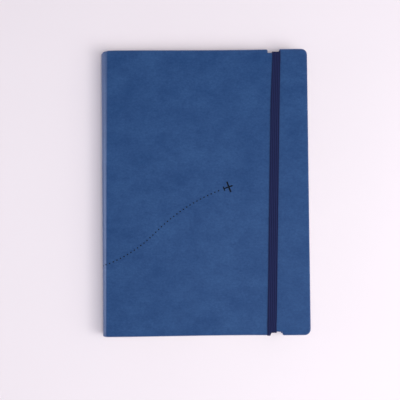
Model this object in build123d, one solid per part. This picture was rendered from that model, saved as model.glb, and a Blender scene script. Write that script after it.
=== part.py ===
from build123d import *
import math
import os

# A casebound A5 pilot logbook with a soft leatherette case and an elastic closure band.
# It lies closed on its back cover. The origin is at the middle of its footprint, +X points to
# the fore-edge, +Y to the head and +Z up through the front cover. All sizes are millimetres.

# Driving dimensions
PAGE_WIDTH = 148.0
PAGE_HEIGHT = 210.0
COVER_WIDTH = 156.0
COVER_HEIGHT = 216.0
BOOK_THICKNESS = 18.0

# The layers of a cover, from the outside in
SKIN = 0.7
BOARD = 0.9
TURN_IN = 0.6
PASTEDOWN = 0.2
COVER = SKIN + BOARD + TURN_IN + PASTEDOWN

# The case
CORNER_RADIUS = 4.5
OUTER_ROUND = 1.0
INNER_ROUND = 0.5
SPINE_RADIUS = 4.0
TURN_IN_WIDTH = 13.0
PASTEDOWN_MARGIN = 4.0
NOTCH_X = 52.5
NOTCH_WIDTH = 8.6
NOTCH_DEPTH = 2.6
NOTCH_ROUND = 0.4

# The spine's layers inside its skin
STRIP = 0.6
STRIP_MARGIN = 2.0
SPINE_TURN_IN = 0.5
LINER = 0.25
MULL = 0.25
LINER_HEIGHT = 212.0
MULL_HEIGHT = 200.0

# The page block
SIGNATURES = 12
FLYLEAF = 0.16
FOLD_ROUND = 0.3
TURNING_LEAVES = 4
LEAF = 0.10
CENTRE_ZONE = 0.64
KERFS = 5
KERF_PITCH = 42.0
KERF_WIDTH = 1.4
KERF_DEPTH = 0.8
THREAD_WIDTH = 0.7
THREAD_DEPTH = 0.6
HEADBAND_REACH = 1.4
HEADBAND_BEAD = 1.15
HEADBAND_SKIRT = 5.0

# The closure band
BAND_WIDTH = 7.0
BAND = 0.7
BAND_ROUND = 0.6
BAND_X_HEAD = 52.9
BAND_X_TAIL = 52.1
BAND_TAB = 13.0
BAND_TAB_Z = 0.8
SLOT_CLEARANCE = 0.05

# Places that follow from the sizes above
SPINE_X = -COVER_WIDTH / 2
FORE_EDGE_X = COVER_WIDTH / 2
HEAD_Y = COVER_HEIGHT / 2
BLOCK_X = SPINE_X + COVER
PANEL_X = SPINE_X + SPINE_RADIUS
BOARD_X = PANEL_X + 1.4
PASTEDOWN_X = BOARD_X + 0.4
INNER_Z = COVER
MIDDLE_Z = BOOK_THICKNESS / 2
SIGNATURE = (BOOK_THICKNESS - 2 * COVER - 2 * FLYLEAF - CENTRE_ZONE) / SIGNATURES
NOTCH_FLOOR_Y = HEAD_Y - NOTCH_DEPTH
PIVOT_INSET = SPINE_RADIUS * (1 - math.pi / 4)


def slab(x_low, x_high, y_half, z_low, z_high):
    """A flat rectangular solid, symmetric about the X axis in plan."""
    size = (x_high - x_low, 2 * y_half, z_high - z_low)
    return Pos((x_low + x_high) / 2, 0, (z_low + z_high) / 2) * Box(*size)


def front_of(back_piece):
    """The front cover's piece: the back cover's, reflected through the middle of the book."""
    return mirror(back_piece, about=Plane.XY.offset(MIDDLE_Z))


def cover_panel(start_x, inset, z_low, z_high):
    """A cover-shaped plate with rounded fore-edge corners, pulled in by inset on its free edges."""
    width = FORE_EDGE_X - inset - start_x
    outline = Rectangle(width, COVER_HEIGHT - 2 * inset)
    fore_corners = outline.vertices().sort_by(Axis.X)[-2:]
    outline = fillet(fore_corners, CORNER_RADIUS - inset)
    return Pos(start_x + width / 2, 0, z_low) * extrude(outline, z_high - z_low)


def notches(inset):
    """The two cut-outs at head and tail that hold the band, widened by inset all round."""
    width = NOTCH_WIDTH + 2 * inset
    depth = 2 * (NOTCH_DEPTH + inset)
    cut = extrude(RectangleRounded(width, depth, NOTCH_ROUND + inset), COVER)
    return [Pos(NOTCH_X, side * HEAD_Y, 0) * cut for side in (1, -1)]


def free_edges(panel, z):
    """The panel's edges at one height, leaving out the straight one along the spine."""
    level = panel.edges().filter_by_position(Axis.Z, z, z)
    return [edge for edge in level if edge.center().X > PANEL_X + 1]


def band_centre_x(y):
    """The band lies a little askew, so its centre line moves in X from tail to head."""
    run = y / NOTCH_FLOOR_Y
    return (BAND_X_HEAD + BAND_X_TAIL) / 2 + run * (BAND_X_HEAD - BAND_X_TAIL) / 2


def band_tab_space(side, clearance):
    """The room of one of the band's ends, from the notch into the back board."""
    z_low = BAND_TAB_Z - clearance
    size = (BAND_WIDTH + 8 * clearance, BAND_TAB + BAND, BAND + 2 * clearance)
    y = side * (NOTCH_FLOOR_Y + BAND - size[1] / 2)
    return Pos(band_centre_x(side * NOTCH_FLOOR_Y), y, z_low + size[2] / 2) * Box(*size)


def skin_round(*corners):
    """The skin's wall round the spine, seen from the tail: the stretch inside the given corners."""
    width = 60.0
    outer = RectangleRounded(width, BOOK_THICKNESS, SPINE_RADIUS)
    inner = RectangleRounded(width - 2 * SKIN, BOOK_THICKNESS - 2 * SKIN, SPINE_RADIUS - SKIN)
    wall = Pos(SPINE_X + width / 2, MIDDLE_Z) * (outer - inner)
    section = wall & make_face(Polyline(*corners, close=True))
    return extrude(Plane.XZ * section, HEAD_Y, both=True)


def cover_skin():
    """A cover's leatherette: outer face, edge walls, turn-ins, and half of its spine round."""
    panel = cover_panel(PANEL_X, 0, 0, COVER - PASTEDOWN)
    panel = fillet(free_edges(panel, 0), OUTER_ROUND)
    panel = fillet(free_edges(panel, COVER - PASTEDOWN), INNER_ROUND)
    for notch in notches(0):
        panel -= notch
    panel -= board_shape()
    panel -= infill_shape()
    panel -= slab(PANEL_X, BOARD_X, HEAD_Y, SKIN, COVER)
    centre = (PANEL_X, SPINE_RADIUS)
    beyond = SPINE_RADIUS + 1
    split = (PANEL_X - beyond, SPINE_RADIUS - beyond)
    below = (PANEL_X, SPINE_RADIUS - beyond)
    return panel + skin_round(centre, split, below)


def back_skin():
    """The back cover's leatherette also has a slot in each notch for the band's end."""
    panel = cover_skin()
    for side in (1, -1):
        panel -= band_tab_space(side, SLOT_CLEARANCE)
    return panel


def board_shape():
    """A cover's board, cut back by the skin's thickness from the edges and the notches."""
    board = cover_panel(BOARD_X, SKIN, SKIN, SKIN + BOARD)
    for notch in notches(SKIN):
        board -= notch
    return board


def back_board():
    """The back board also has a cut-out for each end of the band, as deep as the board."""
    board = board_shape()
    for side in (1, -1):
        room = band_tab_space(side, SLOT_CLEARANCE)
        size = room.bounding_box().size
        board -= Pos(room.center().X, room.center().Y, SKIN + BOARD / 2) * Box(size.X, size.Y, BOARD)
    return board


def infill_shape():
    """The card that fills the field between a cover's turn-ins."""
    fore_x = FORE_EDGE_X - TURN_IN_WIDTH
    return slab(BOARD_X, fore_x, HEAD_Y - TURN_IN_WIDTH, SKIN + BOARD, SKIN + BOARD + TURN_IN)


def pastedown():
    """The endpaper leaf glued over the infill and the turn-ins."""
    fore_x = FORE_EDGE_X - PASTEDOWN_MARGIN
    return slab(PASTEDOWN_X, fore_x, HEAD_Y - PASTEDOWN_MARGIN, COVER - PASTEDOWN, COVER)


def spine_skin():
    """The leatherette over the spine, half of each spine round, and the turn-ins at its ends."""
    beyond = SPINE_RADIUS + 1
    centre = (PANEL_X, SPINE_RADIUS)
    split = (PANEL_X - beyond, SPINE_RADIUS - beyond)
    outside = (PANEL_X - 2 * beyond, SPINE_RADIUS - beyond)
    half = [centre, split, outside]
    other_half = [(x, BOOK_THICKNESS - z) for x, z in reversed(half)]
    wall = skin_round(*half, *other_half)
    for side in (1, -1):
        fold = spine_layer(SKIN, STRIP + SPINE_TURN_IN, STRIP_MARGIN)
        wall += Pos(0, side * (HEAD_Y - STRIP_MARGIN / 2), 0) * fold
        turned = spine_layer(SKIN + STRIP, SPINE_TURN_IN, TURN_IN_WIDTH)
        wall += Pos(0, side * (HEAD_Y - TURN_IN_WIDTH / 2), 0) * turned
    return wall


def spine_layer(depth, thickness, height):
    """A flat layer behind the spine's straight part, centred on the X axis."""
    x_low = SPINE_X + depth
    z_low = SPINE_RADIUS
    return slab(x_low, x_low + thickness, height / 2, z_low, BOOK_THICKNESS - z_low)


def spine_strip():
    """The thin card inside the spine skin, between its head and tail folds."""
    return spine_layer(SKIN, STRIP, COVER_HEIGHT - 2 * STRIP_MARGIN)


def block_lining(x_low, thickness, height):
    """A layer glued over the whole back of the page block."""
    return slab(x_low, x_low + thickness, height / 2, INNER_Z + 0.1, BOOK_THICKNESS - INNER_Z - 0.1)


def spine_mull():
    """The open-weave cloth on the back of the block, between the two headbands' skirts."""
    return block_lining(BLOCK_X - MULL, MULL, MULL_HEIGHT)


def spine_liner():
    """The kraft paper over the mull and the headbands."""
    return block_lining(BLOCK_X - MULL - LINER, LINER, LINER_HEIGHT)


def end_band(side):
    """A headband: a bead that caps the block's end, on a skirt glued behind the block."""
    z_low = INNER_Z + 0.2
    z_high = BOOK_THICKNESS - z_low
    block_end = PAGE_HEIGHT / 2
    bead = Pos(BLOCK_X - MULL, block_end + 0.05) * Rectangle(
        MULL + HEADBAND_BEAD, HEADBAND_REACH, align=(Align.MIN, Align.MIN)
    )
    outer_corners = bead.vertices().sort_by(Axis.X)[-2:]
    bead = fillet(outer_corners, HEADBAND_REACH / 2.2)
    skirt = Pos(BLOCK_X - MULL, MULL_HEIGHT / 2) * Rectangle(
        MULL, HEADBAND_SKIRT + 0.05, align=(Align.MIN, Align.MIN)
    )
    band = Pos(0, 0, z_low) * extrude(bead + skirt, z_high - z_low)
    return band if side > 0 else mirror(band, about=Plane.XZ)


def kerf_heights():
    """Where the sewing crosses the back of the block."""
    return [KERF_PITCH * (i - (KERFS - 1) / 2) for i in range(KERFS)]


def kerfed(leaves):
    """Cuts the sewing kerfs into the back of a stack of leaves."""
    z = leaves.center().Z
    for y in kerf_heights():
        leaves -= Pos(BLOCK_X, y, z) * Box(2 * KERF_DEPTH, KERF_WIDTH, 2 * CENTRE_ZONE + SIGNATURE)
    return leaves


def sewing_thread():
    """The thread's runs across the back of the block, one in each kerf."""
    z_low = INNER_Z + FLYLEAF
    run = slab(BLOCK_X, BLOCK_X + THREAD_DEPTH, THREAD_WIDTH / 2, z_low, BOOK_THICKNESS - z_low)
    run = fillet(run.edges().filter_by(Axis.Z).sort_by(Axis.X)[-2:], THREAD_DEPTH / 3)
    return Compound(children=[Pos(0, y, 0) * run for y in kerf_heights()])


def leaf_slab(z_low, thickness):
    """A sheet or a stack of sheets of the page size."""
    return slab(BLOCK_X, BLOCK_X + PAGE_WIDTH, PAGE_HEIGHT / 2, z_low, z_low + thickness)


def signature(index):
    """One sewn section, with its fold rounded. Index 0 lies next to the back flyleaf."""
    z_low = INNER_Z + FLYLEAF + index * SIGNATURE
    if index >= SIGNATURES // 2:
        z_low += CENTRE_ZONE
    stack = leaf_slab(z_low, SIGNATURE)
    folds = stack.edges().filter_by(Axis.Y).sort_by(Axis.X)[:2]
    return kerfed(fillet(folds, FOLD_ROUND))


def turning_leaf(index):
    """One of the single leaves at the middle of the block, from the back to the front."""
    gap = (CENTRE_ZONE - TURNING_LEAVES * LEAF) / (TURNING_LEAVES + 1)
    z_low = MIDDLE_Z - CENTRE_ZONE / 2 + gap + index * (LEAF + gap)
    return kerfed(leaf_slab(z_low, LEAF))


def elastic_band():
    """The band: a front run, a side run down each notch, and an end in each board pocket."""
    reach = NOTCH_FLOOR_Y + BAND
    half = BAND_WIDTH / 2
    corners = [
        (band_centre_x(-reach) - half, -reach),
        (band_centre_x(-reach) + half, -reach),
        (band_centre_x(reach) + half, reach),
        (band_centre_x(reach) - half, reach),
    ]
    top_z = BOOK_THICKNESS + BAND
    run = Pos(0, 0, BOOK_THICKNESS) * extrude(make_face(Polyline(*corners, close=True)), BAND)
    for side in (1, -1):
        fall = Box(BAND_WIDTH, BAND, top_z - BAND_TAB_Z)
        x = band_centre_x(side * (NOTCH_FLOOR_Y + BAND / 2))
        run += Pos(x, side * (NOTCH_FLOOR_Y + BAND / 2), (top_z + BAND_TAB_Z) / 2) * fall
        run += band_tab_space(side, 0)
    return run


def build():
    """Every piece of the book, by name."""
    pieces = {
        "back_skin": back_skin(),
        "back_board": back_board(),
        "back_infill": infill_shape(),
        "back_pastedown": pastedown(),
        "back_flyleaf": kerfed(leaf_slab(INNER_Z, FLYLEAF)),
        "spine_skin": spine_skin(),
        "spine_strip": spine_strip(),
        "spine_mull": spine_mull(),
        "spine_liner": spine_liner(),
        "head_band": end_band(1),
        "tail_band": end_band(-1),
        "sewing_thread": sewing_thread(),
        "elastic_band": elastic_band(),
    }
    pieces["front_skin"] = front_of(cover_skin())
    pieces["front_board"] = front_of(board_shape())
    pieces["front_infill"] = front_of(infill_shape())
    pieces["front_pastedown"] = front_of(pastedown())
    pieces["front_flyleaf"] = front_of(pieces["back_flyleaf"])
    for index in range(SIGNATURES):
        pieces[f"signature_{index + 1:02d}"] = signature(index)
    for index in range(TURNING_LEAVES):
        pieces[f"turning_leaf_{index + 1}"] = turning_leaf(index)
    return pieces


os.makedirs("parts", exist_ok=True)
for name, piece in build().items():
    export_step(piece, f"parts/{name}.step")

# The cover turns about these two lines along Y, set in from the spine's corners so that the
# rounded skin keeps its length between the flat cover and the flat spine.
hinge_x = SPINE_X + PIVOT_INSET
for label, hinge_z in (("back", PIVOT_INSET), ("front", BOOK_THICKNESS - PIVOT_INSET)):
    print(f"{label} hinge line at x {hinge_x:.4f}, z {hinge_z:.4f}")
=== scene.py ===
import math
import random
import bpy
from mathutils import Matrix, Vector, noise
from mathutils.geometry import delaunay_2d_cdt


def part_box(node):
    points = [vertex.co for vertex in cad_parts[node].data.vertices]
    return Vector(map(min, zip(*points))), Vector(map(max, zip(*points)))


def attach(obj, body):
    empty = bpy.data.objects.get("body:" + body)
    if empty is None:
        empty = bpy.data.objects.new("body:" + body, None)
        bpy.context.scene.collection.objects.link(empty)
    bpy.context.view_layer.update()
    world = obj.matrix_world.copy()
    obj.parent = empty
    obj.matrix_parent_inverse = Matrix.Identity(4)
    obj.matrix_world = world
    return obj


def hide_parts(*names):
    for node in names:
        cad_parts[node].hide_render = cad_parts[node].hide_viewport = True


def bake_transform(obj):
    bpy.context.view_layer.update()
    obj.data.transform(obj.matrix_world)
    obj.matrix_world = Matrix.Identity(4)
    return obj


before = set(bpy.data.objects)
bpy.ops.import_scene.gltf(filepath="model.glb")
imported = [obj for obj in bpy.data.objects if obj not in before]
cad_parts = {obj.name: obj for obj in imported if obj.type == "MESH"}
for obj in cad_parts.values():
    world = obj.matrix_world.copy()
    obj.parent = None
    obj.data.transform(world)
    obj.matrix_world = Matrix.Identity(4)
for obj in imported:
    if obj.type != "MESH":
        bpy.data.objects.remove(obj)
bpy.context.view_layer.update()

# The pilot logbook's looks. Shapes are worked out in millimetres, in the frame of the CAD
# model, and go into Blender in metres.
MM = 0.001


def node_box(name):
    """A CAD node's lowest and highest corners, in millimetres."""
    low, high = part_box(name)
    return low / MM, high / MM


# Sizes read from the frame
_, skin_high = node_box("front_skin")
page_low, page_high = node_box("signature_01")
band_low, band_high = node_box("elastic_band")
strip_low, _ = node_box("spine_strip")
paste_low, _ = node_box("back_pastedown")
HALF_WIDTH = skin_high.x
HALF_HEIGHT = skin_high.y
THICKNESS = skin_high.z
MIDDLE_Z = THICKNESS / 2
SPINE_RADIUS = strip_low.z
PANEL_X = -HALF_WIDTH + SPINE_RADIUS
LEATHER_DEPTH = paste_low.z
BLOCK_X = page_low.x
PAGE_WIDTH = page_high.x - page_low.x
PAGE_HALF = page_high.y

# The leatherette case. Its skin is drawn laid flat, where s runs from the middle of the spine
# to the fore-edge and depth goes in from the outer face, and is then wrapped round the spine.
CORNER_RADIUS = 4.5
EDGE_ROUND = 0.8
INNER_ROUND = 0.5
TURN_IN_WIDTH = 13.0
SKIN_THICKNESS = 0.6
NOTCH_X = 52.5
NOTCH_WIDTH = 8.6
NOTCH_DEPTH = 2.6
NOTCH_MOUTH_ROUND = 1.2
NOTCH_FLOOR_ROUND = 0.6
SPINE_TURN_DEPTH = 1.8
HEAD_CAP_DROOP = 1.3
TAIL_CAP_DROOP = 0.2
GRID = 4.0
ROUND_GRID = 0.35
GRID_CLEARANCE = 0.2
FIELD_MARGIN = 0.8
MERGE_DISTANCE = 1e-5
WARP = 0.10
WARP_LENGTH = 45.0
ROUND_LENGTH = SPINE_RADIUS * math.pi / 2
SPINE_MID_S = PANEL_X - ROUND_LENGTH - (MIDDLE_Z - SPINE_RADIUS)
# Where the cover's flat face breaks into the spine round, the skin has a soft crease. It lies
# a little askew, nearer to the spine at the tail.
CREASE_X = PANEL_X + 0.22
CREASE_SKEW = 1.1
CREASE_ROUND = 0.8
CREASE_TURN = math.radians(25)
SPINE_BULGE = 0.25
NOTCH_FLOOR_Y = HALF_HEIGHT - NOTCH_DEPTH
# The front cover's head and tail edges bow in a little between the spine and the fore-edge.
EDGE_BOW = 0.4
BOW_START = (-65.0, 68.0)
BOW_FULL = (10.0, 25.0)

# The debossed flight path on the case laid flat: a start, a heading in degrees and stretches
# of (length, turn in degrees), where negative turns go clockwise. It runs from the back cover
# over the spine in one plain S-curve, and ends behind a small light aeroplane.
DASH_PITCH = 3.0
DASH_LENGTH = 1.2
DASH_WIDTH = 1.0
DASH_DEPTH = 0.28
DASH_WALL = 0.13
DASH_ROOM = 1.4
DASH_CLEARANCE = 0.12
FLIGHT_PATH = ((-190.0, -60.0), 0.0, [(80.0, 0.0), (80.0, 45.0), (60.0, -25.0)])
PLANE_LEAD = 5.0
PLANE_ROOM = 4.8
PLANE_HALF = [
    (4.0, 0.0), (3.4, 0.5), (1.4, 0.6), (1.4, 4.2), (0.2, 4.2), (0.0, 0.6),
    (-2.6, 0.4), (-2.6, 1.7), (-3.5, 1.7), (-3.6, 0.0),
]

# The page block
FOLIOS = 4
LEAF_SHARE = 0.82
NESTING = 0.11
FOLD_ZONE = 5.0
TURN_ZONES = {1: 30.0, 2: 38.0, 3: 38.0, 4: 30.0}
TRIM_JITTER = 0.05
SIGNATURES = 12

# The headbands' beads
HEADBAND_WRAPS = 26
WRAP_STEPS = 4
BEAD_SIDES = 12
BEAD_IN = 0.5
BEAD_OUT = 0.78
BEAD_RADIUS = 0.62
BEAD_RIDGE = 0.10
BEAD_END_RADIUS = 0.45
SKIRT_OVERLAP = 0.1

# The elastic band
BAND_WIDTH = 7.0
BAND = 0.7
BAND_RIBS = 5
BAND_MIDDLE_X = 51.55
BAND_SLANT = 0.0258
BAND_PINCH = 0.8
BAND_TAB_SKEW = 0.4
BAND_TAB_Z = 1.15
BAND_TAB = 12.0
BAND_BEND = 0.4
BAND_GAP = 0.04
BAND_CLIMB_HEAD = 1.0
BAND_CLIMB_TAIL = 2.1
BAND_FLAT = 6.0
BAND_FALL_STEPS = 16
BAND_RUN_STEPS = 48
BAND_CORE = 0.22
BAND_RIB = 0.13


# ---------------------------------------------------------------- meshes

def make_object(name, points, faces, materials, face_materials=None, uvs=None):
    """A mesh object from points in millimetres."""
    mesh = bpy.data.meshes.new(name)
    mesh.from_pydata([Vector(p) * MM for p in points], [], faces)
    for material in materials:
        mesh.materials.append(material)
    if face_materials:
        mesh.polygons.foreach_set("material_index", face_materials)
    if uvs:
        layer = mesh.uv_layers.new(name="plan")
        for loop in mesh.loops:
            layer.data[loop.index].uv = uvs[loop.vertex_index]
    mesh.polygons.foreach_set("use_smooth", [True] * len(mesh.polygons))
    mesh.update()
    obj = bpy.data.objects.new(name, mesh)
    bpy.context.scene.collection.objects.link(obj)
    return obj


def keep_modifiers(obj):
    """Makes the result of the object's modifiers its own mesh."""
    depsgraph = bpy.context.evaluated_depsgraph_get()
    mesh = bpy.data.meshes.new_from_object(obj.evaluated_get(depsgraph))
    obj.modifiers.clear()
    obj.data = mesh


def sharpen(obj, degrees):
    """Edges that turn by more than this stay crisp, and the rest are shaded smooth."""
    obj.data.set_sharp_from_angle(angle=math.radians(degrees))


def smooth_step(value, low, high):
    """0 below low, 1 above high and smooth between. low may be the larger one."""
    t = min(1.0, max(0.0, (value - low) / (high - low)))
    return t * t * (3 - 2 * t)


# ---------------------------------------------------------------- the case

def steps_between(low, high, step):
    """Evenly placed values from low up to high, at most about one step apart."""
    count = max(1, round((high - low) / step))
    return [low + (high - low) * i / count for i in range(count + 1)]


COLUMNS = steps_between(SPINE_MID_S, PANEL_X + 2, ROUND_GRID)
COLUMNS += steps_between(PANEL_X + 2, HALF_WIDTH, GRID)[1:]
ROWS = steps_between(-HALF_HEIGHT, HALF_HEIGHT, GRID)


def line_places(start, end):
    """The grid's places strictly between two points on a line along s or along y."""
    along = 0 if start[1] == end[1] else 1
    low, high = sorted((start[along], end[along]))
    values = [v for v in (COLUMNS, ROWS)[along] if low + GRID_CLEARANCE < v < high - GRID_CLEARANCE]
    if start[along] > end[along]:
        values.reverse()
    return [(v, start[1]) if along == 0 else (start[0], v) for v in values]


def free_edge():
    """The cover's free edge laid flat, anticlockwise from mid-spine at the tail to mid-spine
    at the head, as (place, outward direction) pairs."""
    left = NOTCH_X - NOTCH_WIDTH / 2
    right = NOTCH_X + NOTCH_WIDTH / 2
    tail = [
        ((left, -HALF_HEIGHT), NOTCH_MOUTH_ROUND),
        ((left, -NOTCH_FLOOR_Y), NOTCH_FLOOR_ROUND),
        ((right, -NOTCH_FLOOR_Y), NOTCH_FLOOR_ROUND),
        ((right, -HALF_HEIGHT), NOTCH_MOUTH_ROUND),
        ((HALF_WIDTH, -HALF_HEIGHT), CORNER_RADIUS),
    ]
    head = [((s, -y), radius) for (s, y), radius in reversed(tail)]
    corners = [((SPINE_MID_S, -HALF_HEIGHT), 0)] + tail + head + [((SPINE_MID_S, HALF_HEIGHT), 0)]
    edge = [(corners[0][0], (0.0, -1.0))]
    last = corners[0][0]
    for i in range(1, len(corners)):
        (s, y), radius = corners[i]
        into = Vector((s, y)) - Vector(corners[i - 1][0])
        into.normalize()
        arc_start = Vector((s, y)) - into * radius
        side = (into.y, -into.x)
        edge += [(place, side) for place in line_places(last, tuple(arc_start))]
        if radius == 0:
            edge.append(((s, y), side))
            break
        out = Vector(corners[i + 1][0]) - Vector((s, y))
        out.normalize()
        centre = arc_start + out * radius
        count = 8 if radius > 2 else 5
        for k in range(count + 1):
            turn = math.pi / 2 * k / count
            place = centre - out * radius * math.cos(turn) + into * radius * math.sin(turn)
            tangent = into * math.cos(turn) + out * math.sin(turn)
            edge.append(((place.x, place.y), (tangent.y, -tangent.x)))
        last = (s + out.x * radius, y + out.y * radius)
    return edge


def edge_profile():
    """How the skin turns over the cover's edge, as (inset, depth) from the outer face in."""
    outer = []
    for k in range(6):
        turn = math.pi / 2 * k / 5
        outer.append((EDGE_ROUND * (1 - math.sin(turn)), EDGE_ROUND * (1 - math.cos(turn))))
    inner = []
    for k in range(4):
        turn = math.pi / 2 * k / 3
        inset = INNER_ROUND * (1 - math.cos(turn))
        inner.append((inset, LEATHER_DEPTH - INNER_ROUND * (1 - math.sin(turn))))
    return outer + inner


def walk(start, heading, stretches):
    """Dashes along a chain of arcs, as (place, direction in radians) pairs, and the chain's
    end as such a pair."""
    x, y = start
    angle = math.radians(heading)
    ahead = DASH_PITCH / 2
    dashes = []
    for length, turn in stretches:
        bend = math.radians(turn) / length

        def at(distance):
            now = angle + bend * distance
            if abs(bend) < 1e-9:
                return x + distance * math.cos(now), y + distance * math.sin(now), now
            across = (math.sin(now) - math.sin(angle)) / bend
            along = (math.cos(angle) - math.cos(now)) / bend
            return x + across, y + along, now

        while ahead < length:
            px, py, now = at(ahead)
            dashes.append(((px, py), now))
            ahead += DASH_PITCH
        ahead -= length
        x, y, angle = at(length)
    return dashes, ((x, y), angle)


def slot_outline(place, angle, length, width, steps=4):
    """A round-ended slot, anticlockwise."""
    reach = (length - width) / 2
    points = []
    for end in (1, -1):
        for k in range(steps + 1):
            turn = math.pi * k / steps - math.pi / 2
            u = end * (reach + width / 2 * math.cos(turn))
            v = end * width / 2 * math.sin(turn)
            points.append(turned(place, angle, u, v))
    return points


def turned(place, angle, u, v):
    """A point given by u along and v across a direction at a place."""
    c, s = math.cos(angle), math.sin(angle)
    return (place[0] + u * c - v * s, place[1] + u * s + v * c)


DASHES, (PATH_END, PLANE_HEADING) = walk(*FLIGHT_PATH)
PLANE_PLACE = turned(PATH_END, PLANE_HEADING, PLANE_LEAD, 0)


def plane_outline():
    """A small generic light aeroplane seen from above, anticlockwise."""
    lower = [(u, -v) for u, v in reversed(PLANE_HALF[1:-1])]
    return [turned(PLANE_PLACE, PLANE_HEADING, u, v) for u, v in PLANE_HALF + lower]


def moved_in(outline, inset):
    """An anticlockwise outline moved in by inset all round."""
    moved = []
    for i, corner in enumerate(outline):
        here = Vector(corner)
        into = (here - Vector(outline[i - 1])).normalized()
        out = (Vector(outline[(i + 1) % len(outline)]) - here).normalized()
        before = Vector((-into.y, into.x))
        after = Vector((-out.y, out.x))
        moved.append(tuple(here + (before + after) * inset / (1 + before.dot(after))))
    return moved


def room_for_dash(s, y, angle):
    """How long a dash can be at a place on the case, up to its full length."""
    rim = EDGE_ROUND + DASH_CLEARANCE + DASH_WIDTH / 2
    room_y = HALF_HEIGHT - rim - abs(y)
    room_s = min(HALF_WIDTH - rim - s, s - SPINE_MID_S - DASH_CLEARANCE - DASH_WIDTH / 2)
    if room_y < 0 or room_s < 0:
        return 0
    reach_y = room_y / max(abs(math.sin(angle)), 1e-6)
    reach_s = room_s / max(abs(math.cos(angle)), 1e-6)
    return min(DASH_LENGTH, DASH_WIDTH + 2 * min(reach_y, reach_s))


def recesses(side):
    """The debossed marks on one half of the case, as (rim outline, floor outline) pairs, and
    the places of the dashes among them."""
    marks = []
    centres = []
    if side > 0:
        rim = plane_outline()
        marks.append((rim, moved_in(rim, DASH_WALL)))
    for (s, y), angle in DASHES:
        if side < 0:
            s = 2 * SPINE_MID_S - s
            angle = math.pi - angle
        length = room_for_dash(s, y, angle)
        if length < DASH_WIDTH:
            continue
        centres.append((s, y))
        rim = slot_outline((s, y), angle, length, DASH_WIDTH)
        floor_width = DASH_WIDTH - 2 * DASH_WALL
        floor = slot_outline((s, y), angle, length - 2 * DASH_WALL, floor_width)
        marks.append((rim, floor))
    return marks, centres


def in_field(s, y):
    """Whether a grid point is well inside the cover's flat outer field."""
    keep = EDGE_ROUND + FIELD_MARGIN
    y = abs(y)
    if s > HALF_WIDTH - keep or y > HALF_HEIGHT - keep or s < SPINE_MID_S + 0.1:
        return False
    if abs(s - NOTCH_X) < NOTCH_WIDTH / 2 + keep and y > NOTCH_FLOOR_Y - keep:
        return False
    corner = (HALF_WIDTH - CORNER_RADIUS, HALF_HEIGHT - CORNER_RADIUS)
    if s > corner[0] and y > corner[1]:
        return math.dist((s, y), corner) < CORNER_RADIUS - keep
    return True


def round_place(s, depth):
    """The spine round as an even arc, as (x, z)."""
    turn = min(math.pi / 2, max(0.0, (PANEL_X - s) / SPINE_RADIUS))
    reach = SPINE_RADIUS - depth
    x = max(s, PANEL_X) - reach * math.sin(turn)
    z = THICKNESS - SPINE_RADIUS + reach * math.cos(turn)
    return x, z - max(0.0, PANEL_X - ROUND_LENGTH - s)


def creased_place(s, y, depth):
    """The spine round with its soft crease, as (x, z)."""
    crease = CREASE_X + CREASE_SKEW * y / HALF_HEIGHT
    past = crease - s
    sine, cosine = math.sin(CREASE_TURN), math.cos(CREASE_TURN)
    radius = (crease + HALF_WIDTH - CREASE_ROUND * sine) / (1 - sine)
    round_z = THICKNESS - CREASE_ROUND * (1 - cosine) - radius * cosine
    first = CREASE_ROUND * CREASE_TURN
    both = first + radius * (math.pi / 2 - CREASE_TURN)
    if past <= 0:
        return s, THICKNESS - depth
    if past < first:
        turn = past / CREASE_ROUND
        x = crease - CREASE_ROUND * math.sin(turn)
        z = THICKNESS - CREASE_ROUND * (1 - math.cos(turn))
    elif past < both:
        turn = CREASE_TURN + (past - first) / radius
        x = radius * (1 - math.sin(turn)) - HALF_WIDTH
        z = round_z + radius * math.cos(turn)
    else:
        turn = math.pi / 2
        share = (past - both) / (crease - both - SPINE_MID_S)
        x = -HALF_WIDTH
        z = round_z + (MIDDLE_Z - round_z) * share
    bulge = SPINE_BULGE * (1 + y / HALF_HEIGHT)
    return x + (depth - bulge) * math.sin(turn), z - depth * math.cos(turn)


def wrap(s, y, depth, side):
    """From the case laid flat to the book. side is 1 for the front cover, -1 for the back."""
    on_spine = smooth_step(s, PANEL_X + 4, PANEL_X - ROUND_LENGTH)
    depth *= 1 - on_spine * (1 - SPINE_TURN_DEPTH / LEATHER_DEPTH)
    droop = HEAD_CAP_DROOP if y > 0 else TAIL_CAP_DROOP
    y *= 1 - on_spine * droop / HALF_HEIGHT
    if side > 0:
        bow = smooth_step(s, BOW_START[0], BOW_FULL[0]) * smooth_step(s, BOW_START[1], BOW_FULL[1])
        y *= 1 - EDGE_BOW * bow / HALF_HEIGHT
        swell = WARP * noise.noise(Vector((s / WARP_LENGTH, y / WARP_LENGTH, 0.3)))
        depth -= swell * max(0.0, 1 - depth / LEATHER_DEPTH)
    even = round_place(s, depth)
    creased = creased_place(s, y, depth)
    share = smooth_step(depth, 0.7, 1.4)
    x, height = (c + (e - c) * share for c, e in zip(creased, even))
    return (x, y, height if side > 0 else THICKNESS - height)


def triangles(loops, loose):
    """Triangles that fill the first loop but none of the others, over all the given points.
    Returns the points and the triangles, with the given points first and in order."""
    points = [p for loop in loops for p in loop] + loose
    faces = []
    start = 0
    for loop in loops:
        faces.append(list(range(start, start + len(loop))))
        start += len(loop)
    vectors = [Vector(p) for p in points]
    places, _, tris, origins, _, owners = delaunay_2d_cdt(vectors, [], faces, 1, MERGE_DISTANCE)
    back = [o[0] if o else None for o in origins]
    kept = []
    for tri, owner in zip(tris, owners):
        if owner == [0] and all(back[v] is not None for v in tri):
            kept.append([back[v] for v in tri])
    return points, kept


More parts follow.
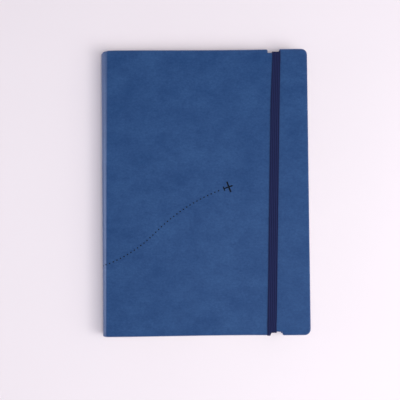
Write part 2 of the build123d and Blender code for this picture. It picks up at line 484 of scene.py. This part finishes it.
def case_skin(name, side, materials):
    """One half of the leatherette case: a cover's outer face with its debossed marks, the
    turned edges, the turn-ins, and the spine as far as its middle."""
    edge = free_edge()
    points = []
    faces = []
    marks_of = []

    def add_face(corners, outward, mark):
        faces.append(list(corners) if outward == (side > 0) else list(reversed(corners)))
        marks_of.append(mark)

    rings = []
    for inset, depth in edge_profile():
        ring = []
        for (s, y), (ns, ny) in edge:
            ring.append(len(points))
            points.append((s - ns * inset, y - ny * inset, depth))
        rings.append(ring)
    for ring, following in zip(rings, rings[1:]):
        for i in range(len(edge) - 1):
            add_face([ring[i], following[i], following[i + 1], ring[i + 1]], True, 0)

    marks, centres = recesses(side)
    top = [points[i][:2] for i in rings[0]]
    seam = line_places(top[-1], top[0])
    boundary = top + seam
    rims = [rim for rim, _ in marks]
    loose = []
    for s in COLUMNS[1:]:
        for y in ROWS:
            clear = all(math.dist((s, y), c) > DASH_ROOM for c in centres)
            if side > 0 and math.dist((s, y), PLANE_PLACE) < PLANE_ROOM:
                clear = False
            if clear and in_field(s, y):
                loose.append((s, y))
    flat, tris = triangles([boundary] + rims, loose)
    index = list(rings[0])
    for s, y in flat[len(top):]:
        index.append(len(points))
        points.append((s, y, 0.0))
    for tri in tris:
        add_face([index[i] for i in tri], True, 0)

    start = len(boundary)
    for rim, floor in marks:
        outer = index[start:start + len(rim)]
        start += len(rim)
        inner = []
        for s, y in floor:
            inner.append(len(points))
            points.append((s, y, DASH_DEPTH))
        count = len(rim)
        for i in range(count):
            j = (i + 1) % count
            add_face([outer[i], outer[j], inner[j], inner[i]], True, 1)
        add_face(inner, True, 1)

    last = rings[-1]
    y_in = HALF_HEIGHT - TURN_IN_WIDTH
    s_in = HALF_WIDTH - TURN_IN_WIDTH
    stops = [(SPINE_MID_S, y_in), (s_in, y_in), (s_in, -y_in), (SPINE_MID_S, -y_in)]
    inner_edge = [stops[0]]
    for a, b in zip(stops, stops[1:]):
        inner_edge += line_places(a, b) + [b]
    loop = [points[i][:2] for i in last] + inner_edge
    flat, tris = triangles([loop], [])
    index = list(last)
    for s, y in flat[len(last):]:
        index.append(len(points))
        points.append((s, y, LEATHER_DEPTH))
    for tri in tris:
        add_face([index[i] for i in tri], False, 0)

    placed = [wrap(s, y, depth, side) for s, y, depth in points]
    uvs = [(s * MM, y * MM) for s, y, _ in points]
    obj = make_object(name, placed, faces, materials, marks_of, uvs)
    solid = obj.modifiers.new("thickness", "SOLIDIFY")
    solid.thickness = SKIN_THICKNESS * MM
    solid.offset = -1
    keep_modifiers(obj)
    sharpen(obj, 40)
    return obj


# ---------------------------------------------------------------- the page block

def sheet_mesh(sheets, name, materials):
    """Thin closed sheets from their cross-sections. Each sheet is (outer line, inner line,
    lowest y, highest y), and a line is a list of (x, z, distance from the fold)."""
    points, faces, uvs = [], [], []
    for outer, inner, y_low, y_high in sheets:
        count = len(outer)
        base = len(points)
        for line in (outer, inner):
            for y in (y_low, y_high):
                for x, z, reach in line:
                    points.append((x, y, z))
                    uvs.append((reach * MM, y * MM))
        a, b, c, d = (base + k * count for k in range(4))
        for i in range(count - 1):
            j = i + 1
            faces.append([a + i, a + j, b + j, b + i])
            faces.append([c + i, d + i, d + j, c + j])
            faces.append([a + i, c + i, c + j, a + j])
            faces.append([b + i, b + j, d + j, d + i])
        faces.append([a, b, d, c])
        end = count - 1
        faces.append([a + end, c + end, d + end, b + end])
    obj = make_object(name, points, faces, materials, None, uvs)
    sharpen(obj, 50)
    return obj


def leg_stations(zone, fold, width):
    """Distances from the block's back along a leaf, close together where it bends."""
    bend = [fold + (zone - fold) * (k / 12) for k in range(1, 13)]
    rest = [zone + (width - zone) * share for share in (0.12, 0.35, 0.65, 1.0)]
    return bend + rest


def folded_sheet(z_low, z_high, leaf, nest, width):
    """A sheet folded at the spine, as outer and inner lines of (x, z, reach)."""
    middle = (z_low + z_high) / 2
    radius = (z_high - z_low) / 2
    fold = nest + radius
    stations = leg_stations(FOLD_ZONE, fold, width)
    outer, inner = [], []
    for reach in reversed(stations):
        outer.append((BLOCK_X + reach, z_low, reach))
        inner.append((BLOCK_X + reach, z_low + leaf, reach))
    for k in range(9):
        turn = math.pi * k / 8
        for line, r in ((outer, radius), (inner, max(radius - leaf, 0.004))):
            x = BLOCK_X + fold - r * math.sin(turn)
            line.append((x, middle - r * math.cos(turn), fold - r * math.sin(turn)))
    for reach in stations:
        outer.append((BLOCK_X + reach, z_high, reach))
        inner.append((BLOCK_X + reach, z_high - leaf, reach))
    return outer, inner


def signature(number, materials, rng):
    """One sewn section: sheets folded one inside the other."""
    node = f"signature_{number:02d}"
    low, high = node_box(node)
    pitch = (high.z - low.z) / (2 * FOLIOS)
    leaf = pitch * LEAF_SHARE
    gap = (pitch - leaf) / 2
    sheets = []
    for k in range(FOLIOS):
        z_low = low.z + k * pitch + gap
        z_high = high.z - k * pitch - gap
        width = PAGE_WIDTH - abs(rng.gauss(0, TRIM_JITTER))
        outer, inner = folded_sheet(z_low, z_high, leaf, k * NESTING, width)
        y_low = -PAGE_HALF + abs(rng.gauss(0, TRIM_JITTER))
        y_high = PAGE_HALF - abs(rng.gauss(0, TRIM_JITTER))
        sheets.append((outer, inner, y_low, y_high))
    obj = sheet_mesh(sheets, f"leaves_of_section_{number:02d}", materials)
    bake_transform(obj)
    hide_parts(node)
    return obj


def turning_leaf(number, materials):
    """One of the leaves at the middle of the book, as a flat sheet whose stations lie close
    together near the block's back.
    """
    node = f"turning_leaf_{number}"
    low, high = node_box(node)
    zone = TURN_ZONES[number]
    stations = [zone * k / 24 for k in range(25)]
    stations += [zone + (PAGE_WIDTH - zone) * share for share in (0.1, 0.3, 0.6, 1.0)]
    under = [(BLOCK_X + reach, low.z, reach) for reach in stations]
    over = [(BLOCK_X + reach, high.z, reach) for reach in stations]
    obj = sheet_mesh([(over, under, -PAGE_HALF, PAGE_HALF)], f"leaf_{number}", materials)
    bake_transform(obj)
    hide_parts(node)
    return obj


def headband(name, side, materials):
    """The sewn bead at one end of the block's back, with its wraps of coloured thread, on the
    skirt that holds it behind the block."""
    low, high = node_box(name)
    centre_x = BLOCK_X + BEAD_IN
    centre_y = side * (PAGE_HALF + BEAD_OUT)
    around = BEAD_SIDES
    points, faces = [], []
    count = HEADBAND_WRAPS * WRAP_STEPS + 1
    for k in range(count):
        z = low.z + (high.z - low.z) * k / (count - 1)
        radius = BEAD_RADIUS + BEAD_RIDGE * abs(math.sin(math.pi * k / WRAP_STEPS))
        if k in (0, count - 1):
            radius = BEAD_END_RADIUS
        for a in range(around):
            turn = 2 * math.pi * a / around
            x = centre_x + radius * math.cos(turn)
            points.append((x, centre_y + radius * math.sin(turn), z))
    for k in range(count - 1):
        for a in range(around):
            b = (a + 1) % around
            here, there = k * around, (k + 1) * around
            faces.append([here + a, here + b, there + b, there + a])
    faces.append(list(reversed(range(around))))
    faces.append([(count - 1) * around + a for a in range(around)])
    first = len(points)
    reach_y = side * (PAGE_HALF + SKIRT_OVERLAP)
    ys = (low.y, reach_y) if side > 0 else (reach_y, high.y)
    points += [(x, y, z) for x in (low.x, BLOCK_X) for y in ys for z in (low.z, high.z)]
    skirt = ((0, 1, 3, 2), (4, 6, 7, 5), (0, 4, 5, 1), (2, 3, 7, 6), (0, 2, 6, 4), (1, 5, 7, 3))
    for corners in skirt:
        faces.append([first + corner for corner in corners])
    obj = make_object(f"{name}_bead", points, faces, materials)
    sharpen(obj, 75)
    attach(obj, "spine")
    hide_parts(name)
    return obj


# ---------------------------------------------------------------- the band

def band_line(x, side):
    """The band's middle line at one end for one thread at x on the front run, as (y, z),
    from its glued end in the back board up to the start of the front run."""
    left = NOTCH_X - NOTCH_WIDTH / 2
    right = NOTCH_X + NOTCH_WIDTH / 2
    over = smooth_step(x, left + 0.5, left - 0.8) + smooth_step(x, right - 0.5, right + 0.8)
    edge = NOTCH_FLOOR_Y + (BAND_CLIMB_HEAD if side > 0 else BAND_CLIMB_TAIL) * min(1.0, over)
    low_y = NOTCH_FLOOR_Y + BAND_GAP + BAND / 2
    half = BAND / 2 + BAND_GAP
    line = [(NOTCH_FLOOR_Y - BAND_TAB + 4 * k, BAND_TAB_Z) for k in range(3)]
    for k in range(5):
        turn = math.pi / 2 * k / 4
        y = low_y - BAND_BEND * (1 - math.sin(turn))
        line.append((y, BAND_TAB_Z + BAND_BEND * (1 - math.cos(turn))))
    z_low = BAND_TAB_Z + BAND_BEND
    z_high = THICKNESS - EDGE_ROUND
    for k in range(1, BAND_FALL_STEPS):
        share = k / BAND_FALL_STEPS
        line.append((low_y + (edge + half - low_y) * share, z_low + (z_high - z_low) * share))
    radius = EDGE_ROUND + half
    for k in range(7):
        turn = math.pi / 2 * k / 6
        y = edge - EDGE_ROUND + radius * math.cos(turn)
        line.append((y, z_high + radius * math.sin(turn)))
    line.append((NOTCH_FLOOR_Y - BAND_FLAT, THICKNESS + half))
    return [(side * y, z) for y, z in line]


def band_places(across):
    """One thread of the band from end to end, as (x, y, z)."""
    head_x = BAND_MIDDLE_X + BAND_SLANT * NOTCH_FLOOR_Y
    tail_x = BAND_MIDDLE_X - BAND_SLANT * NOTCH_FLOOR_Y
    tab_head = (band_high.x + band_low.x) / 2 + BAND_TAB_SKEW
    tab_tail = (band_high.x + band_low.x) / 2 - BAND_TAB_SKEW
    places = []
    for side, run_x, tab_x in ((-1, tail_x, tab_tail), (1, head_x, tab_head)):
        pinch = BAND_PINCH * (0.5 - across / BAND_WIDTH) if side > 0 else 0
        line = band_line(run_x + across + pinch, side)
        end = []
        for y, z in line:
            share = smooth_step(z, BAND_TAB_Z + 1, THICKNESS - 1.5)
            end.append((tab_x + (run_x + pinch - tab_x) * share + across, y, z))
        if side < 0:
            places += end
            top = end[-1]
            run = 2 * (NOTCH_FLOOR_Y - BAND_FLAT)
            for k in range(1, BAND_RUN_STEPS):
                y = top[1] + run * k / BAND_RUN_STEPS
                pinch = BAND_PINCH * (0.5 - across / BAND_WIDTH) * smooth_step(y, 60, PAGE_HALF)
                places.append((BAND_MIDDLE_X + BAND_SLANT * y + across + pinch, y, top[2]))
        else:
            places += reversed(end)
    return places


def elastic_band(materials):
    """The ribbed elastic, as a closed strip with ribs along both faces."""
    samples = BAND_RIBS * 6
    threads = []
    for i in range(samples + 1):
        across = BAND_WIDTH * (i / samples - 0.5)
        rib = abs(math.sin(math.pi * BAND_RIBS * i / samples)) ** 0.7
        threads.append((across, BAND_CORE + BAND_RIB * rib, band_places(across)))
    count = len(threads[0][2])
    points, uvs, faces = [], [], []
    width = samples + 1
    for face in (1, -1):
        for j in range(count):
            for across, half, places in threads:
                here = Vector(places[j])
                before = Vector(places[max(j - 1, 0)])
                after = Vector(places[min(j + 1, count - 1)])
                tangent = (after - before).normalized()
                normal = Vector((0, tangent.z, -tangent.y)) * -1
                normal.normalize()
                points.append(here + normal * half * face)
                uvs.append((across * MM, j * 0.01))
    under = count * width
    for j in range(count - 1):
        for i in range(samples):
            a, b = j * width + i, j * width + i + 1
            c, d = a + width, b + width
            faces.append([a, b, d, c])
            faces.append([under + a, under + c, under + d, under + b])
        for i, flip in ((0, True), (samples, False)):
            a, c = j * width + i, (j + 1) * width + i
            quad = [a, c, under + c, under + a]
            faces.append(quad if flip else quad[::-1])
    for j, flip in ((0, False), (count - 1, True)):
        for i in range(samples):
            a, b = j * width + i, j * width + i + 1
            quad = [a, under + a, under + b, b]
            faces.append(quad if flip else quad[::-1])
    obj = make_object("elastic_closure_band", points, faces, materials, None, uvs)
    sharpen(obj, 60)
    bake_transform(obj)
    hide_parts("elastic_band")
    return obj


# ---------------------------------------------------------------- materials

class Surface:
    """A node material under construction."""

    def __init__(self, name, roughness, specular=0.5):
        self.material = bpy.data.materials.new(name)
        self.material.use_nodes = True
        self.tree = self.material.node_tree
        self.shader = self.tree.nodes["Principled BSDF"]
        self.shader.inputs["Roughness"].default_value = roughness
        self.shader.inputs["Specular IOR Level"].default_value = specular

    def node(self, kind, **settings):
        made = self.tree.nodes.new("ShaderNode" + kind)
        for key, value in settings.items():
            setattr(made, key, value)
        return made

    def link(self, source, target):
        self.tree.links.new(source, target)

    def place(self, kind="Object", scale=(1, 1, 1)):
        """Coordinates in metres, stretched by scale."""
        coordinates = self.node("TexCoord")
        mapping = self.node("Mapping")
        mapping.inputs["Scale"].default_value = scale
        self.link(coordinates.outputs[kind], mapping.inputs["Vector"])
        return mapping.outputs["Vector"]

    def noise(self, place, size, detail=3.0, roughness=0.55):
        """Noise whose features are about size millimetres across."""
        made = self.node("TexNoise")
        made.inputs["Scale"].default_value = 1 / (size * MM)
        made.inputs["Detail"].default_value = detail
        made.inputs["Roughness"].default_value = roughness
        self.link(place, made.inputs["Vector"])
        return made.outputs["Fac"]

    def cells(self, place, size, feature="F1"):
        made = self.node("TexVoronoi", feature=feature)
        made.inputs["Scale"].default_value = 1 / (size * MM)
        self.link(place, made.inputs["Vector"])
        return made.outputs["Distance"]

    def ramp(self, value, stops):
        """A colour ramp of (position, colour) stops."""
        made = self.node("ValToRGB")
        elements = made.color_ramp.elements
        while len(elements) < len(stops):
            elements.new(0.5)
        for element, (position, colour) in zip(elements, stops):
            element.position = position
            element.color = (*colour, 1)
        self.link(value, made.inputs["Fac"])
        return made.outputs["Color"]

    def math(self, operation, a, b=None, c=None):
        made = self.node("Math", operation=operation)
        for socket, value in zip(made.inputs, (a, b, c)):
            if value is None:
                continue
            if isinstance(value, (int, float)):
                socket.default_value = value
            else:
                self.link(value, socket)
        return made.outputs[0]

    def mix(self, factor, a, b, blend_type="MIX"):
        made = self.node("Mix", data_type="RGBA", blend_type=blend_type)
        for socket, value in ((made.inputs[0], factor), (made.inputs[6], a), (made.inputs[7], b)):
            if isinstance(value, (int, float)):
                socket.default_value = value
            elif isinstance(value, tuple):
                socket.default_value = (*value, 1)
            else:
                self.link(value, socket)
        return made.outputs[2]

    def bump(self, height, depth, strength=1.0, below=None):
        """Relief of about depth millimetres."""
        made = self.node("Bump")
        made.inputs["Distance"].default_value = depth * MM
        made.inputs["Strength"].default_value = strength
        self.link(height, made.inputs["Height"])
        if below is not None:
            self.link(below, made.inputs["Normal"])
        return made.outputs["Normal"]

    def finish(self, colour=None, roughness=None, normal=None):
        for name, value in (("Base Color", colour), ("Roughness", roughness), ("Normal", normal)):
            if value is not None:
                self.link(value, self.shader.inputs[name])
        return self.material


def linear(red, green, blue):
    """An 8-bit display colour as linear light."""
    values = []
    for value in (red, green, blue):
        value /= 255
        values.append(value / 12.92 if value <= 0.04045 else ((value + 0.055) / 1.055) ** 2.4)
    return tuple(values)


# The leatherette's gloss when it is seen face on and when it is seen askew
GLOSS_AHEAD = 0.055
GLOSS_ASKEW = 1.0
PRESSED_GLOSS = 0.12
GLOSS_TINT = (0.60, 0.70, 1.0)
# Its mottling, as (feature size in mm, swing), and how much each colour channel takes of it
MOTTLES = ((4.0, 0.17), (1.3, 0.34))
MOTTLE_TINT = (1.35, 1.15, 0.8)


def leatherette(name, base, darker, lighter, gloss_askew=GLOSS_ASKEW):
    """Fine-grained polyurethane leatherette with a faint cloudy bloom."""
    surface = Surface(name, 0.5, 0.55)
    surface.shader.inputs["Specular Tint"].default_value = (*GLOSS_TINT, 1)
    surface.shader.inputs["Sheen Weight"].default_value = 0.2
    surface.shader.inputs["Sheen Roughness"].default_value = 0.35
    surface.shader.inputs["Sheen Tint"].default_value = (*GLOSS_TINT, 1)
    place = surface.place()
    streaked = surface.place(scale=(0.75, 1, 1))
    clouds = surface.noise(streaked, 18.0, 5.0, 0.62)
    colour = surface.ramp(clouds, [(0.33, darker), (0.5, base), (0.68, lighter)])
    for size, swing in MOTTLES:
        dark = tuple(1 - swing * part for part in MOTTLE_TINT)
        light = tuple(1 + swing * part for part in MOTTLE_TINT)
        mottle = surface.mix(surface.noise(streaked, size, 3.0, 0.7), dark, light)
        colour = surface.mix(1.0, colour, mottle, "MULTIPLY")
    pores = surface.cells(place, 0.55)
    grain = surface.noise(place, 0.5, 4.0, 0.6)
    creases = surface.noise(surface.place(scale=(1, 1.7, 1)), 3.2, 4.0, 0.6)
    relief = surface.bump(pores, 0.05, 0.6)
    relief = surface.bump(grain, 0.05, 0.7, relief)
    relief = surface.bump(creases, 0.10, 0.35, relief)
    rough = surface.math("MULTIPLY_ADD", grain, 0.2, 0.28)
    facing = surface.node("LayerWeight")
    facing.inputs["Blend"].default_value = 0.5
    askew, ahead = (gloss_askew,) * 3, (GLOSS_AHEAD,) * 3
    gloss = surface.ramp(facing.outputs["Facing"], [(0.02, ahead), (0.14, askew)])
    surface.link(gloss, surface.shader.inputs["Specular IOR Level"])
    return surface.finish(colour, rough, relief)


def paper(name, light, dark, ruled=False):
    """Uncoated paper with faint fibres, and printed rules on the log pages."""
    surface = Surface(name, 0.85, 0.25)
    place = surface.place()
    fibres = surface.noise(surface.place(scale=(1, 0.25, 1)), 0.8, 3.0)
    tone = surface.noise(place, 30.0, 2.0)
    colour = surface.ramp(tone, [(0.3, dark), (0.7, light)])
    if ruled:
        colour = surface.mix(page_rules(surface), colour, linear(112, 134, 168))
    return surface.finish(colour, None, surface.bump(fibres, 0.02, 0.5))


def line_mask(surface, value, at, width):
    """1 within half a width of a position, in metres, and 0 elsewhere."""
    return surface.math("COMPARE", value, at * MM, width / 2 * MM)


# The log page's rules: the rows' height, the columns' distances from the fold, and how far
# the ruled field goes up from the middle and out from its centre line
ROW_HEIGHT = 7.5
ROW_LINE = 0.2
RULE_COLUMNS = (12.0, 30.0, 46.0, 62.0, 78.0, 92.0, 106.0, 122.0, 142.0)
COLUMN_LINE = 0.22
FIELD_HALF_HEIGHT = 93.8
FIELD_CENTRE = 77.0
FIELD_HALF_WIDTH = 65.1


def page_rules(surface):
    """A mask of the log page's rows and columns, on the leaf's own plan."""
    plan = surface.node("UVMap", uv_map="plan")
    parts = surface.node("SeparateXYZ")
    surface.link(plan.outputs["UV"], parts.inputs[0])
    across, up = parts.outputs[0], parts.outputs[1]
    phase = surface.math("FLOORED_MODULO", up, ROW_HEIGHT * MM)
    mask = line_mask(surface, phase, ROW_HEIGHT / 2, ROW_LINE)
    for column in RULE_COLUMNS:
        mask = surface.math("MAXIMUM", mask, line_mask(surface, across, column, COLUMN_LINE))
    tall = line_mask(surface, up, 0.0, 2 * FIELD_HALF_HEIGHT)
    wide = line_mask(surface, across, FIELD_CENTRE, 2 * FIELD_HALF_WIDTH)
    return surface.math("MULTIPLY", surface.math("MULTIPLY", mask, tall), wide)


def elastic_cloth():
    """Navy elastic: ribs with painted shade in dark lines between them, and a fine cross weave."""
    surface = Surface("navy_elastic", 0.8, 0.08)
    surface.shader.inputs["Sheen Weight"].default_value = 0.05
    plan = surface.node("UVMap", uv_map="plan")
    parts = surface.node("SeparateXYZ")
    surface.link(plan.outputs["UV"], parts.inputs[0])
    pitch = BAND_WIDTH / BAND_RIBS * MM
    phase = surface.math("FLOORED_MODULO", parts.outputs[0], pitch)
    edge = surface.math("ABSOLUTE", surface.math("SUBTRACT", phase, pitch / 2))
    share = surface.math("DIVIDE", edge, pitch / 2)
    # The ramp's darker stops are painted shade: dark lines one rib pitch apart along the band,
    # standing in for the shaded grooves between the ribs.
    colour = surface.ramp(
        share, [(0.35, linear(31, 38, 78)), (0.85, linear(15, 21, 52)), (1.0, linear(13, 18, 48))]
    )
    place = surface.place()
    weave = surface.node("TexWave", wave_type="BANDS", bands_direction="Y")
    weave.inputs["Scale"].default_value = 1 / (0.7 * MM) / 3
    surface.link(place, weave.inputs["Vector"])
    fuzz = surface.noise(place, 0.4, 2.0)
    relief = surface.bump(weave.outputs["Fac"], 0.06, 0.5)
    return surface.finish(colour, None, surface.bump(fuzz, 0.05, 0.5, relief))


def striped_thread():
    """The headband's wraps, navy and cream by turns."""
    surface = Surface("headband_thread", 0.6, 0.3)
    parts = surface.node("SeparateXYZ")
    surface.link(surface.place(), parts.inputs[0])
    phase = surface.math("FLOORED_MODULO", parts.outputs[2], 2.6 * MM)
    stripe = surface.math("GREATER_THAN", phase, 1.3 * MM)
    colour = surface.mix(stripe, linear(38, 48, 92), linear(226, 221, 206))
    fuzz = surface.noise(surface.place(scale=(1, 1, 4)), 0.3, 2.0)
    return surface.finish(colour, None, surface.bump(fuzz, 0.05, 0.6))


def woven(name, thread, gap, pitch):
    """A plain open weave."""
    surface = Surface(name, 0.85, 0.2)
    place = surface.place()
    bands = []
    for direction in ("Y", "Z"):
        wave = surface.node("TexWave", wave_type="BANDS", bands_direction=direction)
        wave.inputs["Scale"].default_value = 1 / (pitch * MM) / 3
        surface.link(place, wave.inputs["Vector"])
        bands.append(wave.outputs["Fac"])
    height = surface.math("MAXIMUM", *bands)
    colour = surface.ramp(height, [(0.35, gap), (0.75, thread)])
    return surface.finish(colour, None, surface.bump(height, 0.15, 0.8))


def speckled(name, light, dark, size, relief):
    """Pressed board or coarse paper."""
    surface = Surface(name, 0.9, 0.2)
    place = surface.place()
    specks = surface.noise(place, size, 4.0, 0.7)
    colour = surface.ramp(specks, [(0.35, dark), (0.65, light)])
    return surface.finish(colour, None, surface.bump(specks, relief, 0.7))


def twisted_thread():
    """Waxed sewing thread with its twist."""
    surface = Surface("sewing_thread", 0.5, 0.4)
    wave = surface.node("TexWave", wave_type="BANDS", bands_direction="DIAGONAL")
    wave.inputs["Scale"].default_value = 1 / (0.3 * MM) / 3
    surface.link(surface.place(), wave.inputs["Vector"])
    colour = surface.ramp(wave.outputs["Fac"],
                          [(0.2, linear(190, 182, 160)), (0.8, linear(228, 222, 204))])
    return surface.finish(colour, None, surface.bump(wave.outputs["Fac"], 0.05, 0.8))


def studio_floor():
    """A pale sheet of card with a barely visible tooth."""
    surface = Surface("studio_card", 0.9, 0.1)
    place = surface.place()
    tone = surface.noise(place, 120.0, 2.0)
    colour = surface.ramp(tone, [(0.2, FLOOR_COLOUR[0]), (0.8, FLOOR_COLOUR[1])])
    return surface.finish(colour, None, surface.bump(surface.noise(place, 0.7, 2.0), 0.03, 0.3))


# ---------------------------------------------------------------- studio

FLOOR_SIZE = 1.8
FLOOR_CELLS = 24
FLOOR_Z = -0.02
FLOOR_COLOUR = ((0.83, 0.775, 0.828), (0.84, 0.785, 0.838))
CAMERA_DISTANCE = 0.70
CAMERA_LENS = 83.74
CAMERA_TILT = 1.92
CAMERA_PAN = -0.37
CAMERA_ROLL = 0.56
CAMERA_AIM = (-0.00415, -0.00588)
WALL_LIGHT = (1.0, 0.955, 1.01)
CEILING_SHARE = 0.34
WALL_TOP = 0.25
CEILING_START = 0.40
WORLD_STRENGTH = 1.0
LAMPS = {
    "overhead": ((0.07, -0.09, 1.0), 0.24, 3.25),
    "high_side": ((0.42, -0.20, 0.80), 0.45, 3.05),
    "low_side": ((0.62, -0.22, 0.60), 0.5, 1.24),
    "spine_side": ((-0.8, -0.02, 0.15), 0.3, 1.2),
}


def area_light(name, place, size, power):
    """A soft square lamp that faces the middle of the book."""
    data = bpy.data.lights.new(name, "AREA")
    data.size = size
    data.energy = power
    lamp = bpy.data.objects.new(name, data)
    lamp.location = place
    lamp.rotation_euler = (-Vector(place)).to_track_quat("-Z", "Y").to_euler()
    bpy.context.scene.collection.objects.link(lamp)


def room_light(tree):
    """Pale low walls all round and a dimmer ceiling."""
    background = tree.nodes["Background"]
    background.inputs["Strength"].default_value = WORLD_STRENGTH
    coordinates = tree.nodes.new("ShaderNodeTexCoord")
    parts = tree.nodes.new("ShaderNodeSeparateXYZ")
    ramp = tree.nodes.new("ShaderNodeValToRGB")
    tree.links.new(coordinates.outputs["Generated"], parts.inputs[0])
    tree.links.new(parts.outputs[2], ramp.inputs["Fac"])
    tree.links.new(ramp.outputs["Color"], background.inputs["Color"])
    wall, ceiling = ramp.color_ramp.elements
    wall.position = WALL_TOP
    wall.color = (*WALL_LIGHT, 1)
    ceiling.position = CEILING_START
    ceiling.color = (*(CEILING_SHARE * part for part in WALL_LIGHT), 1)


def studio():
    """Floor, light and the camera that looks down on the book."""
    size = FLOOR_SIZE / MM
    count = FLOOR_CELLS
    points, faces = [], []
    for j in range(count + 1):
        for i in range(count + 1):
            points.append(((i / count - 0.5) * size, (j / count - 0.5) * size, FLOOR_Z))
    for j in range(count):
        for i in range(count):
            a = j * (count + 1) + i
            faces.append([a, a + 1, a + count + 2, a + count + 1])
    make_object("floor", points, faces, [studio_floor()])
    world = bpy.data.worlds.new("studio")
    world.use_nodes = True
    room_light(world.node_tree)
    bpy.context.scene.world = world
    for name, (place, side, power) in LAMPS.items():
        area_light(name, place, side, power)
    data = bpy.data.cameras.new("camera")
    data.lens = CAMERA_LENS
    data.sensor_width = 36
    camera = bpy.data.objects.new("camera", data)
    tilt = math.radians(CAMERA_TILT)
    pan = math.radians(CAMERA_PAN)
    aim = Vector((CAMERA_AIM[0], CAMERA_AIM[1], THICKNESS * MM))
    turn = Matrix.Rotation(pan, 4, "Y") @ Matrix.Rotation(tilt, 4, "X")
    camera.location = aim + turn @ Vector((0, 0, CAMERA_DISTANCE))
    turn = turn @ Matrix.Rotation(math.radians(-CAMERA_ROLL), 4, "Z")
    camera.rotation_euler = turn.to_euler()
    bpy.context.scene.collection.objects.link(camera)
    bpy.context.scene.camera = camera
    bpy.context.scene.view_settings.view_transform = "Standard"
    bpy.context.scene.view_settings.look = "None"


# ---------------------------------------------------------------- the whole book

def dress_nodes(finishes):
    """Gives each CAD node that stays in view its material."""
    for name, material in finishes.items():
        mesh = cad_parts[name].data
        mesh.materials.clear()
        mesh.materials.append(material)


def build():
    rng = random.Random(7)
    studio()
    blue = leatherette("leatherette", linear(41, 71, 116), linear(36, 66, 111),
                       linear(45, 76, 121))
    pressed = leatherette("leatherette_debossed", linear(5, 16, 30), linear(4, 14, 27),
                          linear(6, 18, 33), PRESSED_GLOSS)
    log_paper = paper("log_paper", linear(240, 236, 222), linear(234, 229, 213), ruled=True)
    endpaper = paper("endpaper", linear(236, 231, 216), linear(229, 223, 206))
    board = speckled("grey_board", linear(150, 140, 124), linear(112, 103, 90), 0.8, 0.08)
    card = speckled("infill_card", linear(205, 198, 182), linear(188, 180, 163), 0.6, 0.04)
    kraft = speckled("kraft_paper", linear(176, 142, 104), linear(152, 119, 84), 0.9, 0.04)
    mull = woven("mull", linear(226, 220, 200), linear(150, 143, 126), 0.9)

    front = case_skin("leatherette_front", 1, [blue, pressed])
    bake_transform(front)
    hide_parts("front_skin", "spine_skin")
    back = case_skin("leatherette_back", -1, [blue, pressed])
    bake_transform(back)
    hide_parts("back_skin")

    for number in range(1, SIGNATURES + 1):
        signature(number, [log_paper], rng)
    for number in TURN_ZONES:
        turning_leaf(number, [log_paper])
    stripes = striped_thread()
    for name, side in (("head_band", 1), ("tail_band", -1)):
        headband(name, side, [stripes])
    elastic_band([elastic_cloth()])
    dress_nodes({
        "back_board": board, "front_board": board, "spine_strip": board,
        "back_infill": card, "front_infill": card,
        "back_pastedown": endpaper, "front_pastedown": endpaper,
        "back_flyleaf": endpaper, "front_flyleaf": endpaper,
        "spine_liner": kraft, "spine_mull": mull, "sewing_thread": twisted_thread(),
        "head_band": stripes, "tail_band": stripes,
        "front_skin": blue, "back_skin": blue, "spine_skin": blue,
    })


build()
